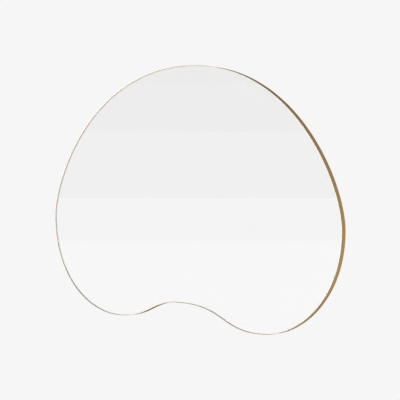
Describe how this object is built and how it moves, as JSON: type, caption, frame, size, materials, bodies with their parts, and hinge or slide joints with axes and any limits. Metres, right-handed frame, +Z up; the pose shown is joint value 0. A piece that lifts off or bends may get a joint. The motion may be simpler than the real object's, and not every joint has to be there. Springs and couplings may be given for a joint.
{
  "type": "irregular shaped wall mirror",
  "caption": "Wall mirror with a free-form rounded outline and a soft notch below, in a slim brass-finished band frame, hung by two swinging D-rings on its back.",
  "frame": {"origin": "on the wall plane, midway between the pivot axes of the two D-rings", "axes": "+X to the right seen from the front, +Y from the glass towards the wall, +Z up"},
  "size_m": [0.8998, 0.0215, 0.6979],
  "materials": {
    "satin_brass": "fine brushed, satin",
    "clear_glass": "clear float glass, ground edge",
    "silver_layer": "mirror silvering",
    "grey_film": "satin film",
    "white_foam": "matte foam",
    "fibreboard": "raw fine fibreboard",
    "zinc_steel": "zinc plated, semi-bright",
    "soft_rubber": "matte rubber"
  },
  "bodies": {
    "mirror": {"frame_band": "satin_brass", "mirror_glass": "clear_glass", "silver_layer": "silver_layer", "safety_film": "grey_film", "foam_tape_1": "white_foam", "foam_tape_2": "white_foam", "foam_tape_3": "white_foam", "foam_tape_4": "white_foam", "foam_tape_5": "white_foam", "backing_board": "fibreboard", "frame_tab_1": "zinc_steel", "frame_tab_2": "zinc_steel", "frame_tab_3": "zinc_steel", "frame_tab_4": "zinc_steel", "frame_tab_5": "zinc_steel", "frame_tab_6": "zinc_steel", "frame_tab_7": "zinc_steel", "frame_tab_8": "zinc_steel", "tab_screw_1": "zinc_steel", "tab_screw_2": "zinc_steel", "tab_screw_3": "zinc_steel", "tab_screw_4": "zinc_steel", "tab_screw_5": "zinc_steel", "tab_screw_6": "zinc_steel", "tab_screw_7": "zinc_steel", "tab_screw_8": "zinc_steel", "hanger_strap_left": "zinc_steel", "hanger_strap_right": "zinc_steel", "hanger_screw_left_1": "zinc_steel", "hanger_screw_left_2": "zinc_steel", "hanger_screw_right_1": "zinc_steel", "hanger_screw_right_2": "zinc_steel", "wall_bumper_1": "soft_rubber", "wall_bumper_2": "soft_rubber", "wall_bumper_3": "soft_rubber", "wall_bumper_4": "soft_rubber"},
    "left_ring": {"d_ring_left": "zinc_steel"},
    "right_ring": {"d_ring_right": "zinc_steel"}
  },
  "joints": [
    {"name": "left_ring_swing", "type": "hinge", "parent": "mirror", "child": "left_ring", "pos_m": [-0.19, -0.0049, 0], "axis": [1, 0, 0], "range_deg": [0, 180]},
    {"name": "right_ring_swing", "type": "hinge", "parent": "mirror", "child": "right_ring", "pos_m": [0.19, -0.0049, 0], "axis": [1, 0, 0], "range_deg": [0, 180]}
  ]
}
